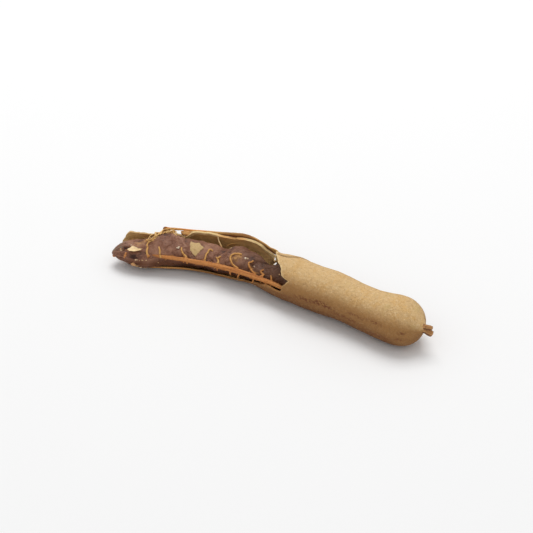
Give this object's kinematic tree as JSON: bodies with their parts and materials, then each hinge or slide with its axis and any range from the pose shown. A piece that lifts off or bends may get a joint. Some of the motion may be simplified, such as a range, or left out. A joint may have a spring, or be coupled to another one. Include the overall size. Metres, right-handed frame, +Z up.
{
  "type": "tamarind pod",
  "caption": "Gently curved tamarind pod lying on its side, its stalk half whole and its other half broken open to show the pulp and the fibres along it.",
  "frame": {"origin": "on the surface the pod lies on, under the middle of its bounding box", "axes": "+Z up, +X towards the stalk, +Y towards the outside of the bend, so the opened half is at -X and its low rim faces -Y"},
  "size_m": [0.1548, 0.0348, 0.0203],
  "materials": {
    "husk": "matte, scurfy, finely mottled tan shell",
    "pulp": "satin, wrinkled, purplish brown",
    "strand": "fibrous, orange brown",
    "fine_fibre": "fibrous, golden",
    "scrap": "matte, papery, cream",
    "stalk": "rough, woody brown"
  },
  "bodies": {
    "root": {"pod_shell": "husk", "pulp": "pulp", "front_strand": "strand", "back_strand": "strand", "loose_fibre_outer": "fine_fibre", "loose_fibre_inner": "fine_fibre", "wall_fibre": "fine_fibre", "shell_scrap_left": "scrap", "shell_scrap_middle": "scrap", "stalk": "stalk"}
  },
  "joints": []
}
